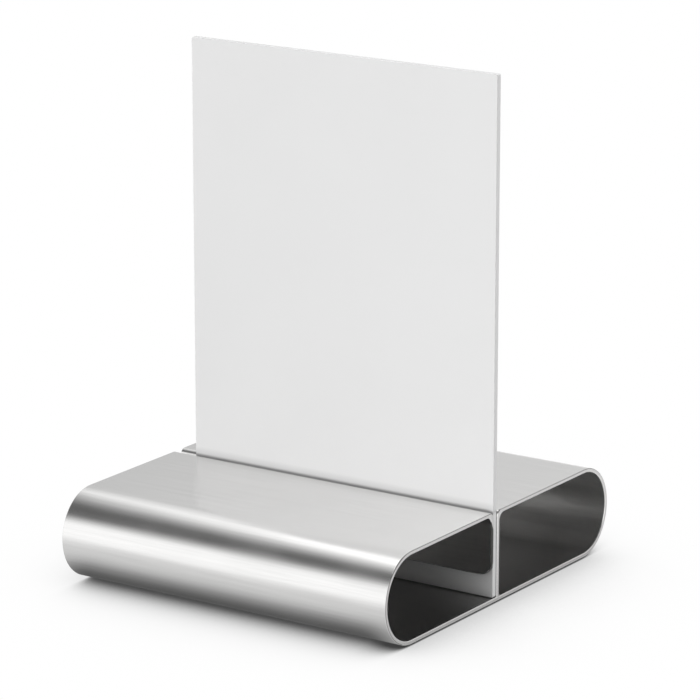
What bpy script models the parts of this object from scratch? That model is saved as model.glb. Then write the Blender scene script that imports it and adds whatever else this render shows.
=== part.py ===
"""Menu holder: a bent steel base that grips an upright blank panel in a slot across its top.

Units are metres and +Z is up. The origin lies on the table under the middle of the base,
+X runs along the slot and +Y runs from the front of the base to its back.
"""

import math

import bmesh
import bpy
from mathutils import Vector

MM = 0.001

# Base, one sheet bent into two round-ended chambers
SHEET_THICKNESS = 1.2 * MM
BASE_LENGTH = 113.0 * MM
BASE_DEPTH = 121.7 * MM
BASE_HEIGHT = 27.5 * MM
SLOT_FORWARD = 3.15 * MM
SLOT_BEND_RADIUS = 1.2 * MM
JAW_FLOOR_GAP = 7.05 * MM
JAW_CORNER_RADIUS = 4.3 * MM
WEB_FOOT_GAP = 0.1 * MM

# Weld that ties the foot of the web to the floor of the base
WELD_LEG = 0.8 * MM
WELD_GAP = 0.05 * MM
WELD_END_INSET = 0.05 * MM

# Blank panel that stands in the slot
PANEL_WIDTH = 105.5 * MM
PANEL_HEIGHT = 153.8 * MM
PANEL_THICKNESS = 1.8 * MM
PANEL_CORNER_RADIUS = 0.5 * MM
PANEL_END_INSET = 0.3 * MM
PANEL_SIDE_CLEARANCE = 0.1 * MM
PANEL_FOOT_CLEARANCE = 0.1 * MM

# Non-slip pads stuck under the base
PAD_DIAMETER = 12.0 * MM
PAD_THICKNESS = 0.5 * MM
PAD_GLUE_THICKNESS = 0.1 * MM
PAD_END_MARGIN = 6.0 * MM
PAD_ROUND_MARGIN = 2.0 * MM

# Facets along the round stretches
ROUND_STEPS = 32
BEND_STEPS = 8
CORNER_STEPS = 8
PAD_STEPS = 48
SMOOTH_ANGLE = math.radians(30.0)

# Levels and planes that several pieces share
UNDERSIDE = PAD_THICKNESS + PAD_GLUE_THICKNESS
FLOOR = UNDERSIDE + SHEET_THICKNESS
SLOT_Y = -SLOT_FORWARD
SLOT_HALF_GAP = PANEL_THICKNESS / 2 + PANEL_SIDE_CLEARANCE
WEB_REAR_Y = SLOT_Y + SLOT_HALF_GAP + SHEET_THICKNESS
ROUND_AXIS_Y = (BASE_DEPTH - BASE_HEIGHT) / 2

ALONG_SLOT = Vector((1.0, 0.0, 0.0))


def clear_scene():
    """Remove every object that the scene holds."""
    for item in list(bpy.data.objects):
        bpy.data.objects.remove(item, do_unlink=True)


def make_material(name, color, roughness, metallic):
    """Return a plain shaded material."""
    material = bpy.data.materials.new(name)
    material.use_nodes = True
    shader = material.node_tree.nodes["Principled BSDF"]
    shader.inputs["Base Color"].default_value = (*color, 1.0)
    shader.inputs["Roughness"].default_value = roughness
    shader.inputs["Metallic"].default_value = metallic
    return material


def make_mesh(shape, name, material):
    """Turn a finished bmesh into a smooth-shaded mesh with one material."""
    bmesh.ops.recalc_face_normals(shape, faces=shape.faces)
    mesh = bpy.data.meshes.new(name)
    shape.to_mesh(mesh)
    shape.free()
    mesh.materials.append(material)
    mesh.shade_smooth()
    mesh.set_sharp_from_angle(angle=SMOOTH_ANGLE)
    return mesh


def place(name, mesh, holder, location=(0.0, 0.0, 0.0)):
    """Add a named object for a mesh, carried by the holder's empty."""
    item = bpy.data.objects.new(name, mesh)
    bpy.context.scene.collection.objects.link(item)
    item.parent = holder
    item.location = location
    return item


def add_flat(profile, start, end_y, end_z):
    """Carry the sheet's profile on in a straight line and return its new end."""
    end = bmesh.ops.extrude_vert_indiv(profile, verts=[start])["verts"][0]
    end.co.y = end_y
    end.co.z = end_z
    return end


def add_bend(profile, start, axis_y, axis_z, angle, steps):
    """Carry the sheet's profile on round a bend and return its new end."""
    spun = bmesh.ops.spin(
        profile,
        geom=[start],
        cent=(start.co.x, axis_y, axis_z),
        axis=ALONG_SLOT,
        angle=angle,
        steps=steps,
    )
    ends = [item for item in spun["geom_last"] if isinstance(item, bmesh.types.BMVert)]
    return ends[0]


def draw_sheet_profile(profile):
    """Draw the middle line of the sheet's section, from the jaw's lower edge to the web's foot.

    The sheet climbs the jaw, turns over the front plate, rolls round the front, crosses the
    table, rolls round the back and turns down into the web. Every bend turns the same way.
    """
    half_sheet = SHEET_THICKNESS / 2
    bend_radius = SLOT_BEND_RADIUS + half_sheet
    top_z = UNDERSIDE + BASE_HEIGHT - half_sheet
    bottom_z = UNDERSIDE + half_sheet
    middle_z = UNDERSIDE + BASE_HEIGHT / 2
    bend_axis_z = top_z - bend_radius
    jaw_y = SLOT_Y - SLOT_HALF_GAP - half_sheet
    web_y = SLOT_Y + SLOT_HALF_GAP + half_sheet
    jaw_foot = profile.verts.new((-BASE_LENGTH / 2, jaw_y, FLOOR + JAW_FLOOR_GAP))

    end = add_flat(profile, jaw_foot, jaw_y, bend_axis_z)
    end = add_bend(profile, end, jaw_y - bend_radius, bend_axis_z, math.pi / 2, BEND_STEPS)
    end = add_flat(profile, end, -ROUND_AXIS_Y, top_z)
    end = add_bend(profile, end, -ROUND_AXIS_Y, middle_z, math.pi, ROUND_STEPS)
    end = add_flat(profile, end, ROUND_AXIS_Y, bottom_z)
    end = add_bend(profile, end, ROUND_AXIS_Y, middle_z, math.pi, ROUND_STEPS)
    end = add_flat(profile, end, web_y + bend_radius, top_z)
    end = add_bend(profile, end, web_y + bend_radius, bend_axis_z, math.pi / 2, BEND_STEPS)
    add_flat(profile, end, web_y, FLOOR + WEB_FOOT_GAP)
    return jaw_foot


def make_base_sheet(holder):
    """Bend the base: pull the profile out along the slot, round the jaw and thicken the sheet."""
    sheet = bmesh.new()
    jaw_foot = draw_sheet_profile(sheet)
    pulled = bmesh.ops.extrude_edge_only(sheet, edges=sheet.edges[:])["geom"]
    far_verts = [item for item in pulled if isinstance(item, bmesh.types.BMVert)]
    bmesh.ops.translate(sheet, verts=far_verts, vec=ALONG_SLOT * BASE_LENGTH)
    jaw_corners = [vert for vert in sheet.verts if (vert.co.yz - jaw_foot.co.yz).length < WEB_FOOT_GAP]
    bmesh.ops.bevel(
        sheet,
        geom=jaw_corners,
        offset=JAW_CORNER_RADIUS,
        segments=CORNER_STEPS,
        profile=0.5,
        affect="VERTICES",
    )
    steel = make_material("brushed_steel", (0.60, 0.59, 0.58), 0.32, 1.0)
    base = place("base_sheet", make_mesh(sheet, "base_sheet", steel), holder)
    thicken = base.modifiers.new("sheet_thickness", "SOLIDIFY")
    thicken.thickness = SHEET_THICKNESS
    thicken.offset = 0.0
    thicken.use_even_offset = True
    return base


def make_web_weld(holder):
    """Run the fillet weld along the back of the web's foot."""
    corner_y = WEB_REAR_Y + WELD_GAP
    corner_z = FLOOR + WELD_GAP
    start_x = -BASE_LENGTH / 2 + WELD_END_INSET
    bead = bmesh.new()
    section = [
        bead.verts.new((start_x, corner_y, corner_z)),
        bead.verts.new((start_x, corner_y + WELD_LEG, corner_z)),
        bead.verts.new((start_x, corner_y, corner_z + WELD_LEG)),
    ]
    end_face = bead.faces.new(section)
    pulled = bmesh.ops.extrude_face_region(bead, geom=[end_face], use_keep_orig=True)["geom"]
    far_verts = [item for item in pulled if isinstance(item, bmesh.types.BMVert)]
    bmesh.ops.translate(bead, verts=far_verts, vec=ALONG_SLOT * (BASE_LENGTH - 2 * WELD_END_INSET))
    weld_metal = make_material("weld_metal", (0.48, 0.47, 0.46), 0.5, 1.0)
    return place("web_weld", make_mesh(bead, "web_weld", weld_metal), holder)


def make_menu_panel(holder):
    """Cut the blank panel and stand it in the slot, near the right-hand end of the base."""
    panel = bmesh.new()
    bmesh.ops.create_cube(panel, size=1.0)
    bmesh.ops.scale(panel, verts=panel.verts, vec=(PANEL_WIDTH, PANEL_THICKNESS, PANEL_HEIGHT))
    bmesh.ops.translate(panel, verts=panel.verts, vec=(0.0, 0.0, PANEL_HEIGHT / 2))
    corners = [edge for edge in panel.edges if edge.verts[0].co.xz == edge.verts[1].co.xz]
    bmesh.ops.bevel(
        panel,
        geom=corners,
        offset=PANEL_CORNER_RADIUS,
        segments=CORNER_STEPS,
        profile=0.5,
        affect="EDGES",
    )
    white = make_material("white_panel", (0.80, 0.80, 0.80), 0.55, 0.0)
    middle_x = BASE_LENGTH / 2 - PANEL_END_INSET - PANEL_WIDTH / 2
    seat = (middle_x, SLOT_Y, FLOOR + PANEL_FOOT_CLEARANCE)
    return place("menu_panel", make_mesh(panel, "menu_panel", white), holder, seat)


def make_pads(holder):
    """Stick a thin round pad under each corner of the flat floor of the base."""
    disc = bmesh.new()
    radius = PAD_DIAMETER / 2
    bmesh.ops.create_cone(
        disc,
        cap_ends=True,
        segments=PAD_STEPS,
        radius1=radius,
        radius2=radius,
        depth=PAD_THICKNESS,
    )
    rubber = make_material("pad_rubber", (0.03, 0.03, 0.03), 0.8, 0.0)
    mesh = make_mesh(disc, "pad", rubber)
    pad_x = BASE_LENGTH / 2 - PAD_END_MARGIN - radius
    pad_y = ROUND_AXIS_Y - PAD_ROUND_MARGIN - radius
    for end_name, side_y in (("front", -pad_y), ("rear", pad_y)):
        for side_name, side_x in (("left", -pad_x), ("right", pad_x)):
            place(f"pad_{end_name}_{side_name}", mesh, holder, (side_x, side_y, PAD_THICKNESS / 2))


def main():
    """Build the menu holder."""
    clear_scene()
    holder = bpy.data.objects.new("menu_holder", None)
    bpy.context.scene.collection.objects.link(holder)
    make_base_sheet(holder)
    make_web_weld(holder)
    make_menu_panel(holder)
    make_pads(holder)


main()
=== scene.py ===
"""Looks of the menu holder: fine meshes and finishes for its pieces, with floor, light and camera.

Every length is in metres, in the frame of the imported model: +X runs along the slot, +Y from the
front of the base to its back and +Z up from the table.
"""

from __future__ import annotations

import logging
import math
from dataclasses import dataclass
from enum import Enum

import bmesh
import bpy
from mathutils import Euler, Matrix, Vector

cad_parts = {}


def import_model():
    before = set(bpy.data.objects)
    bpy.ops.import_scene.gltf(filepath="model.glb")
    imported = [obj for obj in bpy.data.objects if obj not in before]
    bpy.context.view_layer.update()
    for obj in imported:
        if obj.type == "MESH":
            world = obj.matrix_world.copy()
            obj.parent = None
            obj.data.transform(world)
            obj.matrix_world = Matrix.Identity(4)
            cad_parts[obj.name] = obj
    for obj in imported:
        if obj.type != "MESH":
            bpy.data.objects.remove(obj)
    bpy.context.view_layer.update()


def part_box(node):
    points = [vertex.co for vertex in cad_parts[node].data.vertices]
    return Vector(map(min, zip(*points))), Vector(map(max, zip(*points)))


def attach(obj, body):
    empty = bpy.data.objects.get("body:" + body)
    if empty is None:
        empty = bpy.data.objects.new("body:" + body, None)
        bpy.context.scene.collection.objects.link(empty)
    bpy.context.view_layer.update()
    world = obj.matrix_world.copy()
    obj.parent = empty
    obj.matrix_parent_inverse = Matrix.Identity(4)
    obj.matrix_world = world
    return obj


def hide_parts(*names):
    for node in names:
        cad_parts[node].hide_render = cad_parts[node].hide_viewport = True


Triple = tuple[float, float, float]
Edge = bmesh.types.BMEdge
Material = bpy.types.Material
Node = bpy.types.Node
Outputs = bpy.types.NodeOutputs
Piece = bpy.types.Object
Shape = bmesh.types.BMesh
Socket = bpy.types.NodeSocket
Term = Socket | float

LOG = logging.getLogger("menu_holder")
MM = 0.001
HALF_TURN = 180.0
WHITE = (1.0, 1.0, 1.0, 1.0)
ALONG_SLOT = Vector((1.0, 0.0, 0.0))
UNFOLDED = "unfolded"
DISTANCE = "along_sheet"

# Noise lies mostly between these values, which are taken as its two ends
NOISE_LOW = 0.3
NOISE_HIGH = 0.7

# A ray's count of bounces passes these at its first and its second
FIRST_BOUNCE = 0.5
SECOND_BOUNCE = 1.5


class Body(Enum):
    """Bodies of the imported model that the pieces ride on."""

    BASE = "base"
    PANEL = "panel"


class Slot(Enum):
    """Material slots named in the record."""

    STEEL = "brushed_steel"
    WELD = "weld_metal"
    PANEL = "white_panel"
    PAD = "pad_rubber"


class Side(Enum):
    """Material slots of the base's mesh, one for each kind of surface on the sheet."""

    FACE = 0
    CUT = 1
    INNER = 2
    SLOT = 3
    ARRIS_SHADE = 4
    JAW_END = 5


class PadPlace(Enum):
    """Corners of the base that have a pad, by the name of the pad's solid."""

    FRONT_LEFT = "pad_front_left"
    FRONT_RIGHT = "pad_front_right"
    REAR_LEFT = "pad_rear_left"
    REAR_RIGHT = "pad_rear_right"


class Ray(Enum):
    """Kinds of ray that see the white studio itself instead of the light it gives."""

    CAMERA = "Is Camera Ray"
    GLOSSY = "Is Glossy Ray"
    TRANSMISSION = "Is Transmission Ray"


class NodeGraph:
    """A node tree with short ways to add nodes, whose inputs take sockets and plain values alike."""

    def __init__(self, tree: bpy.types.NodeTree) -> None:
        """Start from an empty tree."""
        self.tree = tree
        tree.nodes.clear()

    def add(self, kind: str, inputs: dict[str | int, object] | None = None, **settings: object) -> Node:
        """Add a node.

        Args:
            kind: Node type without its ShaderNode prefix.
            inputs: Sockets and values for the node's inputs, by name or number.
            settings: Values for the node's own properties.

        Returns:
            The new node.
        """
        node = self.tree.nodes.new("ShaderNode" + kind)
        for name, value in settings.items():
            setattr(node, name, value)
        for key, value in (inputs or {}).items():
            if isinstance(value, Socket):
                self.tree.links.new(value, node.inputs[key])
            else:
                node.inputs[key].default_value = value
        return node

    def coordinates(self, scale: Triple = (1.0, 1.0, 1.0)) -> Socket:
        """Give the object's own coordinates, with so many repeats a metre along each axis."""
        place = self.add("TexCoord").outputs["Object"]
        return self.add("Mapping", {"Vector": place, "Scale": scale}).outputs["Vector"]

    def parts(self, vector: Socket) -> Outputs:
        """Split a vector into its X, Y and Z."""
        return self.add("SeparateXYZ", {"Vector": vector}).outputs

    def place(self) -> Outputs:
        """Split the object's own coordinates into X, Y and Z."""
        return self.parts(self.coordinates())

    def noise(self, scale: Triple, detail: float = 3.0) -> Socket:
        """Give noise from 0 to 1, with so many repeats a metre along each axis."""
        inputs = {"Vector": self.coordinates(scale), "Scale": 1.0, "Detail": detail}
        return self.add("TexNoise", inputs).outputs["Fac"]

    def speckle(self, size: float, detail: float = 3.0) -> Socket:
        """Give noise from 0 to 1, with the same pitch in every direction."""
        return self.noise((1.0 / size, 1.0 / size, 1.0 / size), detail)

    def grade(self, value: Socket, span: tuple[float, float], levels: tuple[float, float]) -> Socket:
        """Map a span of a value onto a span of levels, held at both ends."""
        ends = {"From Min": span[0], "From Max": span[1], "To Min": levels[0], "To Max": levels[1]}
        return self.add("MapRange", {"Value": value, **ends}).outputs["Result"]

    def spread(self, noise: Socket, low: float, high: float) -> Socket:
        """Map noise onto a span of levels."""
        return self.grade(noise, (NOISE_LOW, NOISE_HIGH), (low, high))

    def ramp(self, value: Socket, stops: list[tuple[float, Triple]]) -> Socket:
        """Grade a value through a row of colours.

        Args:
            value: Socket with a value from 0 to 1.
            stops: Places from 0 to 1 with their colours.

        Returns:
            Socket with the graded colour.
        """
        ramp = self.add("ValToRGB", {"Fac": value})
        points = ramp.color_ramp.elements
        while len(points) < len(stops):
            points.new(1.0)
        for point, (place, color) in zip(points, stops):
            point.position = place
            point.color = (*color, 1.0)
        return ramp.outputs["Color"]

    def tint(self, noise: Socket, dark: Triple, light: Triple) -> Socket:
        """Blend two colours by noise."""
        return self.ramp(noise, [(NOISE_LOW, dark), (NOISE_HIGH, light)])

    def steps(self, value: Socket, stops: list[tuple[float, float]]) -> Socket:
        """Grade a value from 0 to 1 through a row of levels from 0 to 1."""
        return self.ramp(value, [(place, (level, level, level)) for place, level in stops])

    def math(self, operation: str, first: Term, second: Term = 0.0, third: float = 0.0) -> Socket:
        """Work out a value from others."""
        terms = {0: first, 1: second, 2: third}
        return self.add("Math", terms, operation=operation).outputs[0]

    def limit(self, value: Socket, least: float, most: float) -> Socket:
        """Keep a value between two limits."""
        return self.math("MAXIMUM", self.math("MINIMUM", value, most), least)

    def vector(self, operation: str, first: Socket, second: Triple = (0.0, 0.0, 0.0)) -> Socket:
        """Work out a vector from others."""
        return self.add("VectorMath", {0: first, 1: second}, operation=operation).outputs["Vector"]

    def scaled(self, color: Socket, factor: Socket) -> Socket:
        """Multiply a colour by a value."""
        terms = {"Vector": color, "Scale": factor}
        return self.add("VectorMath", terms, operation="SCALE").outputs["Vector"]

    def mix(self, share: Socket, first: Term, second: Term) -> Socket:
        """Blend two values by the share of the second."""
        inputs = {"Factor": share, "A": first, "B": second}
        return self.add("Mix", inputs, data_type="FLOAT", clamp_factor=True).outputs["Result"]

    def bump(self, height: Socket, depth: float, strength: float) -> Socket:
        """Turn a height from 0 to 1 into a relief of that depth, which shows by its strength."""
        inputs = {"Height": height, "Distance": depth, "Strength": strength}
        return self.add("Bump", inputs).outputs["Normal"]

    def cover(self, surface: dict[str, object]) -> None:
        """End the graph in a Principled shader with these inputs."""
        shader = self.add("BsdfPrincipled", surface)
        self.add("OutputMaterial", {"Surface": shader.outputs["BSDF"]})

    def shine(self, kind: str, strength: Socket, output: str) -> None:
        """End the graph in a white light, by the node types of the light and of the output."""
        light = self.add(kind, {"Color": WHITE, "Strength": strength})
        self.add(output, {"Surface": light.outputs[0]})


def shade(color: Triple, factor: float) -> Triple:
    """Scale a colour."""
    return (color[0] * factor, color[1] * factor, color[2] * factor)


def new_material(name: str) -> tuple[Material, NodeGraph]:
    """Start a material.

    Args:
        name: Name of the material.

    Returns:
        The material and its empty node graph.
    """
    material = bpy.data.materials.new(name)
    material.use_nodes = True
    return material, NodeGraph(material.node_tree)


@dataclass(frozen=True)
class BrushedSteel:
    """Satin stainless sheet, brushed along the slot."""

    name: str = "brushed_steel"
    color: Triple = (0.79, 0.786, 0.78)
    roughness: float = 0.19
    roughness_change: float = 0.03
    anisotropy: float = 0.75
    grain_width: float = 0.12 * MM
    grain_length: float = 14.0 * MM
    grain_depth: float = 0.004 * MM
    grain_strength: float = 0.35
    grain_contrast: float = 0.05
    band_width: float = 0.9 * MM
    band_length: float = 42.0 * MM
    streak_share: float = 0.5
    cloud_size: float = 22.0 * MM

    def tone(self, graph: NodeGraph, streaks: Socket) -> Socket:
        """Colour the streaks of the grain.

        Args:
            graph: Node graph of the steel.
            streaks: Socket with the streaks, from 0 to 1.

        Returns:
            Socket with the colour.
        """
        dark = shade(self.color, 1.0 - self.grain_contrast)
        light = shade(self.color, 1.0 + self.grain_contrast)
        return graph.tint(streaks, dark, light)

    def material(self) -> Material:
        """Mix the grain, the broader brushing bands and faint clouds into one steel.

        Returns:
            The finished material.
        """
        material, graph = new_material(self.name)
        fine = 1.0 / self.grain_width
        grain = graph.noise((1.0 / self.grain_length, fine, fine), detail=4.0)
        broad = 1.0 / self.band_width
        bands = graph.noise((1.0 / self.band_length, broad, broad), detail=2.0)
        streaks = graph.math("MULTIPLY", graph.math("ADD", grain, bands), self.streak_share)
        clouds = graph.speckle(self.cloud_size, detail=2.0)
        low = self.roughness - self.roughness_change
        high = self.roughness + self.roughness_change
        tangent = graph.add("Tangent", direction_type="UV_MAP", uv_map=UNFOLDED)
        surface = {
            "Base Color": self.tone(graph, streaks),
            "Roughness": graph.spread(clouds, low, high),
            "Normal": graph.bump(grain, self.grain_depth, self.grain_strength),
            "Tangent": tangent.outputs["Tangent"],
            "Metallic": 1.0,
            "Anisotropic": self.anisotropy,
        }
        graph.cover(surface)
        return material


@dataclass(frozen=True)
class PlateSteel(BrushedSteel):
    """Outer side of the sheet, whose top plates carry painted light that makes them a little lighter along
    the slot.
    """

    top_z: float = 0.0
    top_depth: float = 0.4 * MM
    slope: float = 1.6

    def tone(self, graph: NodeGraph, streaks: Socket) -> Socket:
        """Colour the streaks of the grain, with painted light that makes the top plates lighter along the
        slot.

        Args:
            graph: Node graph of the steel.
            streaks: Socket with the streaks, from 0 to 1.

        Returns:
            Socket with the colour.
        """
        place = graph.place()
        on_top = graph.grade(place["Z"], (self.top_z - self.top_depth, self.top_z), (0.0, 1.0))
        # Painted light: the top plates grow lighter towards +X.
        growth = graph.math("MULTIPLY", place["X"], self.slope)
        share = graph.math("ADD", graph.math("MULTIPLY", growth, on_top), 1.0)
        return graph.scaled(super().tone(graph, streaks), share)


@dataclass(frozen=True)
class ChamberSteel(BrushedSteel):
    """Inner side of the sheet: a lighter copy of the steel as painted light, with painted shade towards
    the chambers' floor and in the front chamber.
    """

    name: str = "chamber_steel"
    # Lighter than the outer steel, as painted light inside the chambers
    color: Triple = (0.87, 0.866, 0.86)
    roughness: float = 0.31
    floor_z: float = 0.0
    floor_shade_height: float = 5.0 * MM
    floor_shade_share: float = 0.58
    slot_y: float = 0.0
    rear_y: float = 1.0
    front_shade_share: float = 0.79
    rear_light_share: float = 1.08

    def tone(self, graph: NodeGraph, streaks: Socket) -> Socket:
        """Colour the streaks of the grain, with painted shade near the floor and painted light towards the
        back.

        Args:
            graph: Node graph of the steel.
            streaks: Socket with the streaks, from 0 to 1.

        Returns:
            Socket with the colour.
        """
        place = graph.place()
        # Painted shade: darker near the chambers' floor
        floor_shade_span = (self.floor_z, self.floor_z + self.floor_shade_height)
        floor_shade = graph.grade(place["Z"], floor_shade_span, (self.floor_shade_share, 1.0))
        # Painted shade in the front chamber, painted light towards the back
        shares = (self.front_shade_share, self.rear_light_share)
        chamber = graph.grade(place["Y"], (self.slot_y, self.rear_y), shares)
        return graph.scaled(super().tone(graph, streaks), graph.math("MULTIPLY", floor_shade, chamber))


@dataclass(frozen=True)
class SlotSteel(BrushedSteel):
    """Walls of the slot, coloured dark as painted shade where the panel stands."""

    name: str = "slot_steel"
    color: Triple = (0.22, 0.218, 0.215)
    roughness: float = 0.4


@dataclass(frozen=True)
class ArrisShadeSteel(BrushedSteel):
    """Fine dark line along the ends of the outer face, painted as a dark reflection on the arris."""

    name: str = "arris_shade_steel"
    color: Triple = (0.26, 0.258, 0.255)
    roughness: float = 0.4


@dataclass(frozen=True)
class SpeckledFinish:
    """Finish whose colour, gloss and relief all follow one speckle."""

    name: str
    color: Triple
    dark_share: float
    light_share: float
    roughness: float
    roughness_change: float
    pitch: float
    depth: float
    strength: float
    detail: float = 3.0
    metallic: float = 0.0

    def material(self) -> Material:
        """Lay the speckle over the surface.

        Returns:
            The finished material.
        """
        material, graph = new_material(self.name)
        speckle = graph.speckle(self.pitch, self.detail)
        dark = shade(self.color, self.dark_share)
        light = shade(self.color, self.light_share)
        surface = {
            "Base Color": graph.tint(speckle, dark, light),
            "Roughness": graph.spread(speckle, self.roughness, self.roughness + self.roughness_change),
            "Normal": graph.bump(speckle, self.depth, self.strength),
            "Metallic": self.metallic,
        }
        graph.cover(surface)
        return material


@dataclass(frozen=True)
class CutEdge(SpeckledFinish):
    """Deburred cut edge of the sheet, speckled with fine cutting marks."""

    name: str = "cut_edge"
    color: Triple = (0.63, 0.625, 0.62)
    dark_share: float = 0.93
    light_share: float = 1.05
    roughness: float = 0.42
    roughness_change: float = 0.08
    pitch: float = 0.35 * MM
    depth: float = 0.01 * MM
    strength: float = 0.3
    detail: float = 2.0
    metallic: float = 1.0


@dataclass(frozen=True)
class JawEnd(CutEdge):
    """Cut end of the jaw, coloured dark as painted shade."""

    name: str = "jaw_end"
    color: Triple = (0.07, 0.0695, 0.069)


@dataclass(frozen=True)
class WeldMetal(SpeckledFinish):
    """Blotchy weld bead that was brushed down, still a little darker than the sheet."""

    name: str = "weld_metal"
    color: Triple = (0.47, 0.455, 0.44)
    dark_share: float = 0.8
    light_share: float = 1.0
    roughness: float = 0.34
    roughness_change: float = 0.08
    pitch: float = 2.5 * MM
    depth: float = 0.03 * MM
    strength: float = 0.3
    metallic: float = 1.0


@dataclass(frozen=True)
class PadRubber(SpeckledFinish):
    """Dark matt rubber with a fine stipple."""

    name: str = "pad_rubber"
    color: Triple = (0.03, 0.03, 0.03)
    dark_share: float = 1.0
    light_share: float = 1.4
    roughness: float = 0.75
    roughness_change: float = 0.15
    pitch: float = 0.3 * MM
    depth: float = 0.03 * MM
    strength: float = 0.4


@dataclass(frozen=True)
class WearAndShadeLine:
    """Grey line along the panel, painted for rub wear and for shade."""

    height: float
    reach: float
    softness: float
    level: float


@dataclass(frozen=True)
class LipLine(WearAndShadeLine):
    """Faint line where the lips of the slot touch the panel: rub wear and painted contact shade."""

    reach: float = 1.1 * MM
    softness: float = 1.0 * MM
    level: float = 0.64


@dataclass(frozen=True)
class FootLine(WearAndShadeLine):
    """Dark line along the panel's foot, painted shade."""

    reach: float = 0.2 * MM
    softness: float = 0.05 * MM
    level: float = 0.02


@dataclass(frozen=True)
class WhitePanel:
    """Blank rigid panel in matt white plastic, with painted shade that makes it a little greyer towards
    its left edge.
    """

    lines: tuple[WearAndShadeLine, ...]
    level: float = 0.796
    cloud_level: float = 0.784
    cloud_size: float = 35.0 * MM
    slope: float = 0.2
    specular: float = 0.2
    roughness: float = 0.5
    roughness_change: float = 0.1
    grain_size: float = 0.25 * MM
    grain_depth: float = 0.01 * MM
    grain_strength: float = 0.15
    wear_and_shade_falloff: float = 3.0
    wear_and_shade_patch: float = 6.0 * MM
    wear_and_shade_least: float = 0.75
    contact_reach: float = 3.0 * MM
    contact_samples: int = 32
    contact_levels: tuple[tuple[float, float], ...] = (
        (0.45, 0.42),
        (0.53, 0.52),
        (0.60, 0.78),
        (0.68, 0.86),
        (0.80, 0.90),
        (1.0, 1.0),
    )

    def contact(self, graph: NodeGraph) -> Socket:
        """Paint shade on the panel where steel lies close by, wherever the panel stands.

        Args:
            graph: Node graph of the panel's material.

        Returns:
            Socket with 1 away from the steel and less close to it.
        """
        reach = {"Distance": self.contact_reach}
        nearby = graph.add("AmbientOcclusion", reach, samples=self.contact_samples)
        return graph.steps(nearby.outputs["AO"], list(self.contact_levels))

    def wear_and_shade_mask(self, graph: NodeGraph, height: Socket, line: WearAndShadeLine) -> Socket:
        """Find the patchy stretch of one line of rub wear and painted shade.

        Args:
            graph: Node graph of the panel's material.
            height: Socket with the height on the panel.
            line: The line of rub wear and painted shade.

        Returns:
            Socket with 1 on the line and 0 away from it.
        """
        distance = graph.math("ABSOLUTE", graph.math("SUBTRACT", height, line.height))
        fade = graph.grade(distance, (line.reach - line.softness, line.reach), (1.0, 0.0))
        soft = graph.math("POWER", fade, self.wear_and_shade_falloff)
        patches = graph.speckle(self.wear_and_shade_patch)
        return graph.math("MULTIPLY", soft, graph.spread(patches, self.wear_and_shade_least, 1.0))

    def material(self) -> Material:
        """Give the panel its faint clouds, fine matt tooth, painted shade towards its left edge, rub lines
        with painted shade, and painted contact shade close to the steel.

        Returns:
            The finished material.
        """
        material, graph = new_material("white_panel")
        place = graph.place()
        clouds = graph.speckle(self.cloud_size, detail=2.0)
        tooth = graph.speckle(self.grain_size)
        white = graph.spread(clouds, self.cloud_level, self.level)
        # Painted shade: greyer towards the left edge
        white = graph.math("ADD", white, graph.math("MULTIPLY", place["X"], self.slope))
        for line in self.lines:
            # Painted shade along the foot, and rub wear with painted contact shade at the slot's lips
            white = graph.mix(self.wear_and_shade_mask(graph, place["Z"], line), white, line.level)
        surface = {
            # Painted contact shade from occlusion darkens the colour
            "Base Color": graph.math("MULTIPLY", white, self.contact(graph)),
            "Roughness": graph.spread(tooth, self.roughness, self.roughness + self.roughness_change),
            "Normal": graph.bump(tooth, self.grain_depth, self.grain_strength),
            "Specular IOR Level": self.specular,
        }
        graph.cover(surface)
        return material


def add_object(name: str, data: bpy.types.ID) -> Piece:
    """Add an object to the scene for a mesh, lamp or camera.

    Args:
        name: Name of the object.
        data: Mesh, lamp or camera.

    Returns:
        The new object.
    """
    item = bpy.data.objects.new(name, data)
    bpy.context.scene.collection.objects.link(item)
    return item


def add_piece(name: str, shape: Shape) -> Piece:
    """Turn a finished bmesh into an object at the origin, with its place in its mesh.

    Args:
        name: Name of the piece.
        shape: Finished bmesh, freed afterwards.

    Returns:
        The new object.
    """
    mesh = bpy.data.meshes.new(name)
    shape.to_mesh(mesh)
    shape.free()
    mesh.shade_smooth()
    return add_object(name, mesh)


def settle_normals(piece: Piece) -> None:
    """Keep large faces flat in the shading, next to their softened edges."""
    weighted = piece.modifiers.new("flat_faces", "WEIGHTED_NORMAL")
    weighted.keep_sharp = True


def place_on(piece: Piece, materials: list[Material], body: Body, node: str) -> Piece:
    """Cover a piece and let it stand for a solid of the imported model.

    Args:
        piece: Finished piece, in its place.
        materials: Materials in the order of the mesh's slots.
        body: Body that the piece moves with.
        node: Solid that the piece replaces.

    Returns:
        The piece.
    """
    for material in materials:
        piece.data.materials.append(material)
    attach(piece, body.value)
    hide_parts(node)
    LOG.info("%s stands for %s on %s", piece.name, node, body.value)
    return piece


def verts_of(geometry: list[object]) -> list[bmesh.types.BMVert]:
    """Pick the vertices out of mixed geometry."""
    return [item for item in geometry if isinstance(item, bmesh.types.BMVert)]


def sharp_edges(shape: Shape, angle: float) -> list[Edge]:
    """Find the edges whose faces turn by more than an angle, in radians."""
    return [edge for edge in shape.edges if edge.calc_face_angle() > angle]


def round_edges(shape: Shape, edges: list[Edge], offset: float, steps: int) -> list[bmesh.types.BMFace]:
    """Round edges of a closed shape.

    Args:
        shape: Bmesh that has the edges.
        edges: Edges to round.
        offset: Width of the rounding on each side of an edge.
        steps: Facets across the rounding.

    Returns:
        The new faces.
    """
    rounded = bmesh.ops.bevel(
        shape,
        geom=edges,
        offset=offset,
        segments=steps,
        profile=0.5,
        affect="EDGES",
        material=-1,
    )
    return rounded["faces"]


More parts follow.
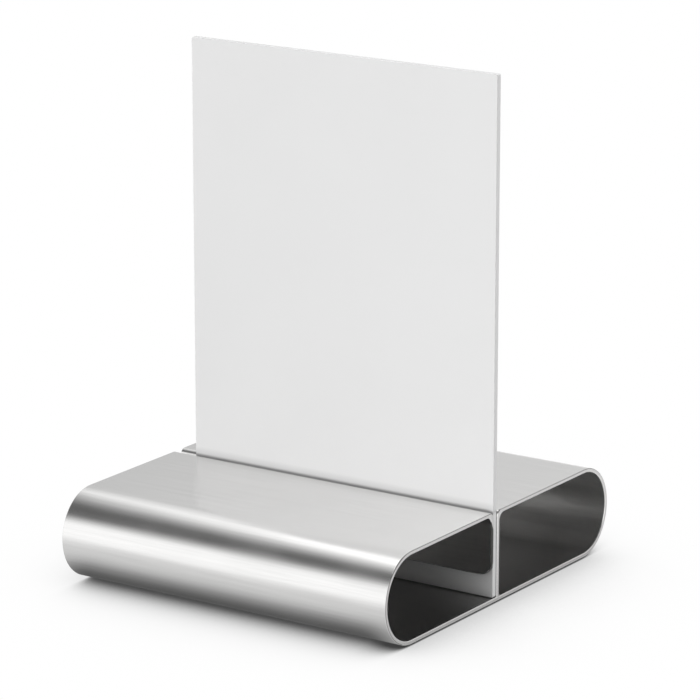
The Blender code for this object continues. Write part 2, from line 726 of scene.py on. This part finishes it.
class SheetOutline:
    """Outline of a bent sheet's section, drawn step by step round both of its sides."""

    def __init__(self, shape: Shape, start: Vector) -> None:
        """Set the first point.

        Args:
            shape: Bmesh that takes the outline.
            start: Place of the outline's first point.
        """
        self.shape = shape
        self.distance = shape.verts.layers.float.new(DISTANCE)
        self.first = shape.verts.new(start)
        self.end = self.first

    def flat(self, y: float, z: float) -> None:
        """Carry the outline straight on to a point of the section.

        Args:
            y: Front to back place of the point.
            z: Height of the point.
        """
        length = (Vector((y, z)) - self.end.co.yz).length
        ahead = bmesh.ops.extrude_vert_indiv(self.shape, verts=[self.end])["verts"][0]
        ahead[self.distance] = self.end[self.distance] + length
        ahead.co.yz = (y, z)
        self.end = ahead

    def bend(self, axis_y: float, axis_z: float, angle: float, steps: int) -> None:
        """Carry the outline round a bend.

        Args:
            axis_y: Front to back place of the bend's axis.
            axis_z: Height of the bend's axis.
            angle: Turn, in radians.
            steps: Facets along the bend.
        """
        centre = Vector((self.end.co.x, axis_y, axis_z))
        stride = (self.end.co - centre).length * abs(angle) / steps
        for _ in range(steps):
            spun = bmesh.ops.spin(
                self.shape,
                geom=[self.end],
                cent=centre,
                axis=ALONG_SLOT,
                angle=angle / steps,
                steps=1,
            )
            ahead = verts_of(spun["geom_last"])[0]
            ahead[self.distance] = self.end[self.distance] + stride
            self.end = ahead

    def close(self) -> Edge:
        """Join the last point to the first."""
        return self.shape.edges.new((self.end, self.first))


@dataclass
class BentBase:
    """The base: one sheet bent into two round-ended chambers with a slot between them."""

    low: Vector
    high: Vector
    slot_y: float
    slot_half_gap: float
    worn_span: tuple[float, float]
    sheet: float = 1.2 * MM
    slot_outer_radius: float = 1.9 * MM
    slot_inner_radius: float = 2.4 * MM
    slot_lip_share: float = 0.3
    jaw_floor_gap: float = 7.05 * MM
    jaw_corner_radius: float = 4.3 * MM
    web_foot_gap: float = 0.02 * MM
    edge_softening: float = 0.25 * MM
    round_steps: int = 72
    bend_steps: int = 12
    corner_steps: int = 12
    edge_steps: int = 2
    edge_angle: float = math.radians(40.0)
    arris_shade_lean: float = 0.7
    jaw_end_lean: float = 0.3
    jaw_end_rise: float = 0.8 * MM
    jaw_end_slope: float = 2.5
    lip_depth: float = 0.15 * MM

    @classmethod
    def from_frame(cls, side_clearance: float = 0.1 * MM) -> BentBase:
        """Take the outer size and the slot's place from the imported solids.

        Args:
            side_clearance: Play between the panel and each side of the slot.

        Returns:
            The base with its sizes.
        """
        low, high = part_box("base_sheet")
        panel_low, panel_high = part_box("menu_panel")
        slot_y = (panel_low.y + panel_high.y) / 2
        half_gap = (panel_high.y - panel_low.y) / 2 + side_clearance
        span = (panel_low.x, panel_high.x)
        return cls(low=low, high=high, slot_y=slot_y, slot_half_gap=half_gap, worn_span=span)

    @property
    def floor_z(self) -> float:
        """Height of the chambers' floor."""
        return self.low.z + self.sheet

    @property
    def jaw_foot_z(self) -> float:
        """Height of the jaw's lower edge."""
        return self.floor_z + self.jaw_floor_gap

    @property
    def web_foot_z(self) -> float:
        """Height of the web's lower edge."""
        return self.floor_z + self.web_foot_gap

    @property
    def lip_z(self) -> float:
        """Height at which the lips of the slot touch the panel."""
        return self.high.z - self.lip_depth

    def draw_outline(self, shape: Shape) -> SheetOutline:
        """Draw the section along the sheet's outer side, from jaw to web, and back along its inner side.

        Args:
            shape: Bmesh that takes the outline.

        Returns:
            The outline, still open across the jaw's lower edge.
        """
        quarter = math.pi / 2
        outer = self.slot_outer_radius
        inner = self.slot_inner_radius
        middle_z = (self.high.z + self.low.z) / 2
        front_y = self.low.y + self.high.z - middle_z
        rear_y = self.high.y - self.high.z + middle_z
        jaw_y = self.slot_y - self.slot_half_gap
        web_y = self.slot_y + self.slot_half_gap
        outline = SheetOutline(shape, Vector((self.low.x, jaw_y, self.jaw_foot_z)))
        bend_z = self.high.z - outer
        outline.flat(jaw_y, bend_z)
        outline.bend(jaw_y - outer, bend_z, quarter, self.bend_steps)
        outline.flat(front_y, self.high.z)
        outline.bend(front_y, middle_z, math.pi, self.round_steps)
        outline.flat(rear_y, self.low.z)
        outline.bend(rear_y, middle_z, math.pi, self.round_steps)
        outline.flat(web_y + outer, self.high.z)
        outline.bend(web_y + outer, bend_z, quarter, self.bend_steps)
        outline.flat(web_y, self.web_foot_z)
        web_y += self.sheet
        jaw_y -= self.sheet
        ceiling_z = self.high.z - self.sheet
        bend_z = ceiling_z - inner
        outline.flat(web_y, self.web_foot_z)
        outline.flat(web_y, bend_z)
        outline.bend(web_y + inner, bend_z, -quarter, self.bend_steps)
        outline.flat(rear_y, ceiling_z)
        outline.bend(rear_y, middle_z, -math.pi, self.round_steps)
        outline.flat(front_y, self.floor_z)
        outline.bend(front_y, middle_z, -math.pi, self.round_steps)
        outline.flat(jaw_y - inner, ceiling_z)
        outline.bend(jaw_y - inner, bend_z, -quarter, self.bend_steps)
        outline.flat(jaw_y, self.jaw_foot_z)
        return outline

    def edges_at(self, shape: Shape, height: float) -> list[Edge]:
        """Find the edges that lie at a height."""
        near = self.web_foot_gap / 2
        return [edge for edge in shape.edges if all(abs(vert.co.z - height) < near for vert in edge.verts)]

    def is_inner(self, point: Vector) -> bool:
        """Tell whether a point of the sheet's surface is on its inner side.

        Args:
            point: Point on the surface.

        Returns:
            True for the chambers' walls.
        """
        half_sheet = self.sheet / 2
        half_height = (self.high.z - self.low.z) / 2
        straight = (self.high.y - self.low.y) / 2 - half_height
        out_y = max(0.0, abs(point.y - (self.high.y + self.low.y) / 2) - straight)
        out_z = point.z - (self.high.z + self.low.z) / 2
        from_slot = abs(point.y - self.slot_y) - self.slot_half_gap
        return math.hypot(out_y, out_z) < half_height - half_sheet and from_slot > half_sheet

    def side_of(self, point: Vector) -> Side:
        """Name the kind of surface that a point of the sheet's two sides is on.

        Args:
            point: Point on the surface.

        Returns:
            Chamber wall, slot wall or outer face.
        """
        if self.is_inner(point):
            return Side.INNER
        lip = self.slot_half_gap + self.slot_outer_radius * self.slot_lip_share
        in_slot = abs(point.y - self.slot_y) < lip and point.z > self.floor_z
        return Side.SLOT if in_slot else Side.FACE

    def round_jaw(self, shape: Shape) -> None:
        """Round the lower corners of the jaw.

        Args:
            shape: Bmesh of the base, closed at its ends.
        """
        rim = self.edges_at(shape, self.jaw_foot_z)
        corners = [edge for edge in rim if edge.verts[0].co.x == edge.verts[1].co.x]
        round_edges(shape, corners, self.jaw_corner_radius, self.corner_steps)

    def break_edges(self, shape: Shape) -> None:
        """Break the sheet's cut edges, except where the web's foot is welded down.

        The strip beside the cut takes a painted dark reflection line on the outer face above the floor.

        Args:
            shape: Bmesh of the base, closed at its ends.
        """
        foot = set(self.edges_at(shape, self.web_foot_z))
        free = [edge for edge in sharp_edges(shape, self.edge_angle) if edge not in foot]
        broken = round_edges(shape, free, self.edge_softening, self.edge_steps)
        shape.normal_update()
        for face in broken:
            middle = face.calc_center_median()
            # Painted dark reflection on the arris strip next to the end face
            on_end = abs(face.normal.x) > self.arris_shade_lean and middle.z > self.floor_z
            arris_shaded = on_end and self.side_of(middle) is Side.FACE
            face.material_index = (Side.ARRIS_SHADE if arris_shaded else Side.FACE).value

    def darken_jaw_ends(self, shape: Shape) -> None:
        """Paint the cut ends of the jaw dark as shade, from a slant below its bend to its rounded corners.

        Args:
            shape: Bmesh of the base, with its edges broken.
        """
        slot_side = self.slot_y - self.slot_half_gap
        bend_z = self.high.z - self.sheet - self.slot_inner_radius
        dark_top = Vector((0.0, slot_side - self.sheet, bend_z + self.jaw_end_rise))
        slant = Vector((0.0, self.jaw_end_slope, 1.0)).normalized()
        end_x = self.high.x - self.edge_softening
        ends = [face for face in shape.faces if abs(face.calc_center_median().x) > end_x]
        rims = {edge for face in ends for edge in face.edges}
        corners = {vert for face in ends for vert in face.verts}
        bmesh.ops.bisect_plane(
            shape,
            geom=[*corners, *rims, *ends],
            plane_co=dark_top,
            plane_no=slant,
        )
        shape.normal_update()
        for face in shape.faces:
            middle = face.calc_center_median()
            in_jaw = -self.sheet < middle.y - slot_side + self.edge_softening / 2 < 0.0
            below_top = (middle - dark_top).dot(slant) < 0.0 and middle.z > self.jaw_foot_z
            # Painted shade on the jaw's cut ends
            if abs(face.normal.x) > self.jaw_end_lean and in_jaw and below_top:
                face.material_index = Side.JAW_END.value

    def limit_slot_shade(self, shape: Shape) -> None:
        """Keep the slot walls' painted shade to the stretch that the panel covers.

        Args:
            shape: Bmesh of the base, with its edges broken.
        """
        for place in self.worn_span:
            bmesh.ops.bisect_plane(
                shape,
                geom=shape.verts[:] + shape.edges[:] + shape.faces[:],
                plane_co=ALONG_SLOT * place,
                plane_no=ALONG_SLOT,
            )
        first, last = self.worn_span
        # Painted shade: the dark slot walls end where the panel ends
        for face in shape.faces:
            if face.material_index == Side.SLOT.value and not first < face.calc_center_median().x < last:
                face.material_index = Side.FACE.value

    def build(self) -> Piece:
        """Pull the section out along the slot, close its ends, round the jaw and break the edges.

        Returns:
            The base, not yet dressed.
        """
        shape = bmesh.new()
        outline = self.draw_outline(shape)
        outline.close()
        pulled = bmesh.ops.extrude_edge_only(shape, edges=shape.edges[:])["geom"]
        bmesh.ops.translate(shape, verts=verts_of(pulled), vec=ALONG_SLOT * (self.high.x - self.low.x))
        for height in (self.jaw_foot_z, self.web_foot_z):
            for edge in self.edges_at(shape, height):
                if edge.is_boundary:
                    edge.link_faces[0].material_index = Side.CUT.value
        for face in shape.faces:
            if face.material_index == Side.FACE.value:
                face.material_index = self.side_of(face.calc_center_median()).value
        ends = [edge for edge in shape.edges if edge.is_boundary]
        bmesh.ops.edgeloop_fill(shape, edges=ends, mat_nr=Side.CUT.value)
        bmesh.ops.recalc_face_normals(shape, faces=shape.faces)
        self.round_jaw(shape)
        self.break_edges(shape)
        self.darken_jaw_ends(shape)
        self.limit_slot_shade(shape)
        flat_map = shape.loops.layers.uv.new(UNFOLDED)
        for face in shape.faces:
            for loop in face.loops:
                loop[flat_map].uv = (loop.vert[outline.distance], loop.vert.co.x)
        shape.verts.layers.float.remove(outline.distance)
        return add_piece("bent_base", shape)

    def dress(self, base: Piece, finishes: dict[Side, BrushedSteel | CutEdge]) -> Piece:
        """Give the sheet its finishes.

        Args:
            base: The base as built.
            finishes: Finish of each kind of surface.

        Returns:
            The base, on its body.
        """
        settle_normals(base)
        materials = [finishes[side].material() for side in Side]
        return place_on(base, materials, Body.BASE, "base_sheet")


@dataclass
class WebWeld:
    """Rippled fillet weld along the back of the web's foot."""

    low: Vector
    high: Vector
    hollow: float = 0.12
    face_steps: int = 5
    ripple_pitch: float = 1.1 * MM
    ripple_depth: float = 0.05 * MM
    ripple_steps: int = 4
    sharp_angle: float = math.radians(50.0)

    @classmethod
    def from_frame(cls) -> WebWeld:
        """Take the bead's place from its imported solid."""
        low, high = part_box("web_weld")
        return cls(low=low, high=high)

    def build(self) -> Piece:
        """Draw the bead's hollow section, pull it along the web in short steps and ripple its face.

        Returns:
            The bead, not yet dressed.
        """
        leg_y = self.high.y - self.low.y
        leg_z = self.high.z - self.low.z
        length = self.high.x - self.low.x
        shape = bmesh.new()
        section = [shape.verts.new(self.low)]
        for step in range(self.face_steps + 1):
            share = step / self.face_steps
            sink = self.hollow * math.sin(math.pi * share)
            offset_y = leg_y * max(0.0, 1.0 - share - sink)
            offset_z = leg_z * max(0.0, share - sink)
            section.append(shape.verts.new(self.low + Vector((0.0, offset_y, offset_z))))
        cap = shape.faces.new(section)
        steps = self.ripple_steps * round(length / self.ripple_pitch)
        bmesh.ops.spin(
            shape,
            geom=[cap],
            cent=self.low,
            axis=ALONG_SLOT,
            dvec=ALONG_SLOT * (length / steps),
            angle=0.0,
            steps=steps,
        )
        for vert in shape.verts:
            out = Vector((0.0, vert.co.y - self.low.y, vert.co.z - self.low.z))
            if min(out.y, out.z) > self.ripple_depth:
                wave = math.sin(2.0 * math.pi * (vert.co.x - self.low.x) / self.ripple_pitch)
                vert.co += out.normalized() * wave * self.ripple_depth
        bmesh.ops.recalc_face_normals(shape, faces=shape.faces)
        return add_piece("web_weld_bead", shape)

    def dress(self, bead: Piece, finish: WeldMetal) -> Piece:
        """Give the bead its finish and set it on its body."""
        bead.data.set_sharp_from_angle(angle=self.sharp_angle)
        return place_on(bead, [finish.material()], Body.BASE, "web_weld")


@dataclass
class MenuPanel:
    """The blank panel that stands in the slot."""

    low: Vector
    high: Vector
    corner_radius: float = 0.5 * MM
    corner_steps: int = 6
    edge_softening: float = 0.1 * MM
    edge_steps: int = 2
    rim_angle: float = math.radians(60.0)

    @classmethod
    def from_frame(cls) -> MenuPanel:
        """Take the panel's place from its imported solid."""
        low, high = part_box("menu_panel")
        return cls(low=low, high=high)

    def build(self) -> Piece:
        """Cut the panel, round its corners and break its edges.

        Returns:
            The panel, not yet dressed.
        """
        shape = bmesh.new()
        bmesh.ops.create_cube(shape, size=1.0)
        bmesh.ops.scale(shape, verts=shape.verts, vec=self.high - self.low)
        bmesh.ops.translate(shape, verts=shape.verts, vec=(self.high + self.low) / 2)
        corners = [edge for edge in shape.edges if edge.verts[0].co.xz == edge.verts[1].co.xz]
        round_edges(shape, corners, self.corner_radius, self.corner_steps)
        round_edges(shape, sharp_edges(shape, self.rim_angle), self.edge_softening, self.edge_steps)
        return add_piece("blank_panel", shape)

    def dress(self, panel: Piece, finish: WhitePanel) -> Piece:
        """Give the panel its finish and set it on its body."""
        settle_normals(panel)
        return place_on(panel, [finish.material()], Body.PANEL, "menu_panel")


@dataclass
class NonSlipPads:
    """Thin round pads under the corners of the base."""

    edge_softening: float = 0.12 * MM
    edge_steps: int = 3
    round_steps: int = 64
    rim_angle: float = math.radians(60.0)

    def build(self, place: PadPlace) -> Piece:
        """Punch one pad and round its rims.

        Args:
            place: Corner of the base.

        Returns:
            The pad, not yet dressed.
        """
        low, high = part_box(place.value)
        radius = (high.x - low.x) / 2
        shape = bmesh.new()
        bmesh.ops.create_cone(
            shape,
            cap_ends=True,
            segments=self.round_steps,
            radius1=radius,
            radius2=radius,
            depth=high.z - low.z,
        )
        bmesh.ops.translate(shape, verts=shape.verts, vec=(high + low) / 2)
        round_edges(shape, sharp_edges(shape, self.rim_angle), self.edge_softening, self.edge_steps)
        return add_piece(place.value.replace("pad", "round_pad"), shape)

    def dress(self, pad: Piece, place: PadPlace, rubber: Material) -> Piece:
        """Give one pad the rubber that all pads share and set it on its body."""
        settle_normals(pad)
        return place_on(pad, [rubber], Body.BASE, place.value)


@dataclass(frozen=True)
class Tone:
    """Brightness of the studio in one direction round the slot's axis.

    The angle is 0 at the front horizon, 90 straight up and 180 at the back horizon.
    """

    angle: float
    level: float


@dataclass(frozen=True)
class Glow:
    """Brightness at one place on a stretch that runs from 0 to 1."""

    place: float
    level: float


@dataclass(frozen=True)
class Softbox:
    """Large soft lamp that hangs flat over the object and shows only as a gleam in the metal.

    Its glow grows along the slot by the gain, and its front edge runs askew to the slot.
    """

    place: Triple = (-0.385, 0.2, 0.6)
    width: float = 1.0
    depth: float = 1.1
    radiance: float = 1.29
    gain: float = 3.0
    brightest_end: float = 1.28
    middle: float = 0.5
    skew: float = 0.8
    glows: tuple[Glow, ...] = (
        Glow(0.03, 0.0),
        Glow(0.20, 0.27),
        Glow(0.29, 0.54),
        Glow(0.38, 0.84),
        Glow(0.45, 1.0),
        Glow(0.56, 0.30),
        Glow(0.66, 0.18),
        Glow(0.78, 0.05),
        Glow(0.95, 0.0),
    )

    def soften(self, lamp: bpy.types.AreaLight) -> None:
        """Grade the lamp's glow over its face.

        Args:
            lamp: Lamp data of the softbox.
        """
        lamp.use_nodes = True
        graph = NodeGraph(lamp.node_tree)
        spot = graph.parts(graph.add("NewGeometry").outputs["Parametric"])
        along = graph.math("SUBTRACT", spot["X"], self.middle)
        askew = graph.math("ADD", spot["Y"], graph.math("MULTIPLY", along, self.skew))
        fade = graph.steps(askew, [(glow.place, glow.level) for glow in self.glows])
        growth = graph.math("MULTIPLY_ADD", along, self.gain, 1.0)
        held = graph.limit(growth, 0.0, self.brightest_end)
        graph.shine("Emission", graph.math("MULTIPLY", fade, held), "OutputLight")

    def build(self) -> Piece:
        """Hang the lamp, out of the camera's sight.

        Returns:
            The lamp.
        """
        lamp = bpy.data.lights.new("top_softbox", "AREA")
        lamp.shape = "RECTANGLE"
        lamp.size = self.width
        lamp.size_y = self.depth
        lamp.energy = self.radiance * math.pi * self.width * self.depth
        self.soften(lamp)
        item = add_object("top_softbox", lamp)
        item.location = self.place
        item.visible_camera = False
        item.visible_diffuse = False
        return item


@dataclass(frozen=True)
class Studio:
    """White sweep, soft lamps and camera."""

    # Light from the sweep on matt surfaces, and the part of it that metal passes on
    ambient: float = 2.0
    ambient_sides: float = -1.5
    ambient_forward: float = 0.25
    ambient_up: float = -0.5
    ambient_twist: float = 2.6
    ambient_least: float = 0.05
    ambient_most: float = 3.0
    side_drop: float = 1.0
    returned: float = 1.2
    returned_slope: float = -1.4

    # The sweep as metal mirrors it, and its gain where metal mirrors metal
    brightest: float = 1.4
    inside_gain: float = 2.0
    tones: tuple[Tone, ...] = (
        Tone(0.0, 1.21),
        Tone(27.0, 1.21),
        Tone(46.5, 0.114),
        Tone(112.0, 0.114),
        Tone(126.0, 0.70),
        Tone(180.0, 0.70),
    )
    softbox: Softbox = Softbox()

    # The glowing floor with the object's shadow painted from occlusion, deeper at the lee end
    floor_size: float = 12.0
    floor_light: float = 0.62
    floor_returned: float = 0.15
    shadow_reach: float = 0.09
    shadow_core: float = 1.3
    shadow_fade: float = 2.5
    shadow_least: float = 0.05
    lee_start: float = 45.0 * MM
    lee_end: float = 60.0 * MM
    lee_gain: float = 1.4

    # The floor as metal mirrors it, with a shadow painted by the distance from a box under the base
    shade_middle: Triple = (-5.25 * MM, 0.0, 0.0)
    shade_half: Triple = (47.25 * MM, 50.0 * MM, 0.0)
    shade_reach: float = 200.0 * MM
    shades: tuple[Glow, ...] = (
        Glow(0.02, 0.10),
        Glow(0.035, 0.15),
        Glow(0.043, 0.21),
        Glow(0.053, 0.275),
        Glow(0.065, 0.38),
        Glow(0.08, 0.54),
        Glow(0.10, 0.655),
        Glow(0.13, 0.73),
        Glow(0.18, 0.745),
        Glow(0.275, 0.81),
        Glow(0.55, 1.13),
        Glow(0.85, 1.21),
    )

    # The camera at the photograph's viewing angle
    camera_place: Triple = (0.61621, -0.91312, 0.36081)
    camera_yaw: float = math.radians(33.843)
    camera_pitch: float = math.radians(14.936)
    camera_nearest: float = 0.01
    focal_pixels: float = 3886.96
    image_pixels: float = 700.0
    sensor: float = 36.0

    def bands(self, graph: NodeGraph, direction: Outputs) -> Socket:
        """Grade the sweep round the slot's axis, as the metal mirrors it.

        Args:
            graph: Node graph of the world.
            direction: Parts of the direction looked in.

        Returns:
            Socket with the brightness.
        """
        forward = graph.math("MULTIPLY", direction["Y"], -1.0)
        angle = graph.math("ARCTAN2", direction["Z"], forward)
        stops = [(tone.angle / HALF_TURN, tone.level / self.brightest) for tone in self.tones]
        graded = graph.steps(graph.math("DIVIDE", angle, math.pi), stops)
        return graph.math("MULTIPLY", graded, self.brightest)

    def fill(self, graph: NodeGraph, direction: Outputs) -> Socket:
        """Grade the light that falls on matt surfaces: most from the front, little from the sides.

        Args:
            graph: Node graph of the world.
            direction: Parts of the direction looked in.

        Returns:
            Socket with the brightness.
        """
        side = graph.math("ABSOLUTE", direction["X"])
        diagonal = graph.math("MULTIPLY", direction["X"], direction["Y"])
        slopes = (
            (side, self.ambient_sides),
            (direction["Y"], -self.ambient_forward),
            (direction["Z"], self.ambient_up),
            (diagonal, self.ambient_twist),
        )
        level = self.ambient
        for share, slope in slopes:
            level = graph.math("ADD", level, graph.math("MULTIPLY", share, slope))
        level = graph.limit(level, self.ambient_least, self.ambient_most)
        sideways = graph.math("POWER", side, 2.0)
        middle = graph.math("MULTIPLY_ADD", sideways, -self.side_drop, 1.0)
        leftward = graph.math("MULTIPLY_ADD", direction["X"], self.returned_slope, 1.0)
        turned = graph.math("MULTIPLY", middle, graph.math("MAXIMUM", leftward, 0.0))
        returned = graph.math("MULTIPLY", turned, self.returned)
        mirrored = graph.add("LightPath").outputs[Ray.GLOSSY.value]
        return graph.mix(mirrored, level, returned)

    def build_world(self) -> None:
        """Surround the object with a white sweep that has a dark band high up in front."""
        world = bpy.data.worlds.new("studio")
        world.use_nodes = True
        bpy.context.scene.world = world
        graph = NodeGraph(world.node_tree)
        direction = graph.parts(graph.add("TexCoord").outputs["Generated"])
        path = graph.add("LightPath").outputs
        mirrored = graph.math("ADD", path[Ray.GLOSSY.value], path[Ray.TRANSMISSION.value])
        before_matt = graph.math("LESS_THAN", path["Diffuse Depth"], FIRST_BOUNCE)
        direct = graph.math("MULTIPLY", mirrored, before_matt)
        inside = graph.math("GREATER_THAN", path["Glossy Depth"], SECOND_BOUNCE)
        gain = graph.math("MULTIPLY_ADD", inside, self.inside_gain - 1.0, 1.0)
        sweep = graph.math("MULTIPLY", self.bands(graph, direction), gain)
        around = graph.mix(direct, self.fill(graph, direction), sweep)
        graph.shine("Background", graph.mix(path[Ray.CAMERA.value], around, 1.0), "OutputWorld")

    def mirrored_floor(self, graph: NodeGraph) -> Socket:
        """Paint the floor's shadow by its distance from the base, as the metal mirrors it.

        Args:
            graph: Node graph of the floor's material.

        Returns:
            Socket with the brightness.
        """
        offset = graph.vector("SUBTRACT", graph.coordinates(), self.shade_middle)
        beyond = graph.vector("SUBTRACT", graph.vector("ABSOLUTE", offset), self.shade_half)
        outside = graph.vector("MAXIMUM", beyond)
        distance = graph.add("VectorMath", {0: outside}, operation="LENGTH")
        share = graph.math("DIVIDE", distance.outputs["Value"], self.shade_reach)
        graded = graph.steps(share, [(spot.place, spot.level / self.brightest) for spot in self.shades])
        return graph.math("MULTIPLY", graded, self.brightest)

    def floor_material(self) -> Material:
        """Make the white floor, which glows instead of being lit and carries the object's soft contact
        shadow painted from occlusion.

        Metal mirrors a painted shadow that is deeper than the one the camera sees.

        Returns:
            The finished material.
        """
        material, graph = new_material("pale_floor")
        shadow = graph.add("AmbientOcclusion", {"Distance": self.shadow_reach})
        core = graph.math("POWER", shadow.outputs["AO"], self.shadow_core)
        depth = graph.math("POWER", graph.math("SUBTRACT", 1.0, core), self.shadow_fade)
        lee = graph.grade(graph.place()["X"], (self.lee_start, self.lee_end), (1.0, self.lee_gain))
        deep = graph.math("MULTIPLY", depth, lee)
        # Painted shadow on the glowing floor
        painted_shadow_level = graph.math("MAXIMUM", graph.math("SUBTRACT", 1.0, deep), self.shadow_least)
        path = graph.add("LightPath").outputs
        seen = graph.math("ADD", path[Ray.CAMERA.value], path[Ray.TRANSMISSION.value])
        level = graph.math("MULTIPLY", painted_shadow_level, graph.mix(seen, self.floor_light, 1.0))
        after_matt = graph.math("GREATER_THAN", path["Diffuse Depth"], FIRST_BOUNCE)
        reflected = graph.mix(after_matt, self.mirrored_floor(graph), self.floor_returned)
        shown = graph.mix(path[Ray.GLOSSY.value], level, reflected)
        graph.shine("Emission", shown, "OutputMaterial")
        return material

    def build_floor(self) -> Piece:
        """Lay the floor under the object.

        Returns:
            The floor.
        """
        shape = bmesh.new()
        bmesh.ops.create_grid(shape, x_segments=1, y_segments=1, size=self.floor_size / 2)
        floor = add_piece("floor", shape)
        floor.data.materials.append(self.floor_material())
        return floor

    def build_camera(self) -> Piece:
        """Set up the camera at the photograph's viewing angle.

        Returns:
            The camera.
        """
        lens = bpy.data.cameras.new("camera")
        lens.sensor_width = self.sensor
        lens.lens = self.focal_pixels * self.sensor / self.image_pixels
        lens.clip_start = self.camera_nearest
        camera = add_object("camera", lens)
        camera.location = self.camera_place
        camera.rotation_euler = Euler((math.pi / 2 - self.camera_pitch, 0.0, self.camera_yaw))
        bpy.context.scene.camera = camera
        return camera

    def build(self) -> None:
        """Build the whole studio."""
        self.build_world()
        self.build_floor()
        self.softbox.build()
        self.build_camera()
        bpy.context.scene.view_settings.view_transform = "Standard"
        LOG.info("studio with floor, softbox and camera")


def main() -> None:
    """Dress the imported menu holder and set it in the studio."""
    logging.basicConfig(level=logging.INFO)
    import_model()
    base = BentBase.from_frame()
    finishes = {
        Side.FACE: PlateSteel(top_z=base.high.z),
        Side.CUT: CutEdge(),
        Side.INNER: ChamberSteel(floor_z=base.floor_z, slot_y=base.slot_y, rear_y=base.high.y),
        Side.SLOT: SlotSteel(),
        Side.ARRIS_SHADE: ArrisShadeSteel(),
        Side.JAW_END: JawEnd(),
    }
    base.dress(base.build(), finishes)
    weld = WebWeld.from_frame()
    weld.dress(weld.build(), WeldMetal())
    panel = MenuPanel.from_frame()
    lines = (LipLine(height=base.lip_z), FootLine(height=panel.low.z))
    panel.dress(panel.build(), WhitePanel(lines=lines))
    pads = NonSlipPads()
    rubber = PadRubber().material()
    for place in PadPlace:
        pads.dress(pads.build(place), place, rubber)
    Studio().build()


if __name__ == "__main__":
    main()
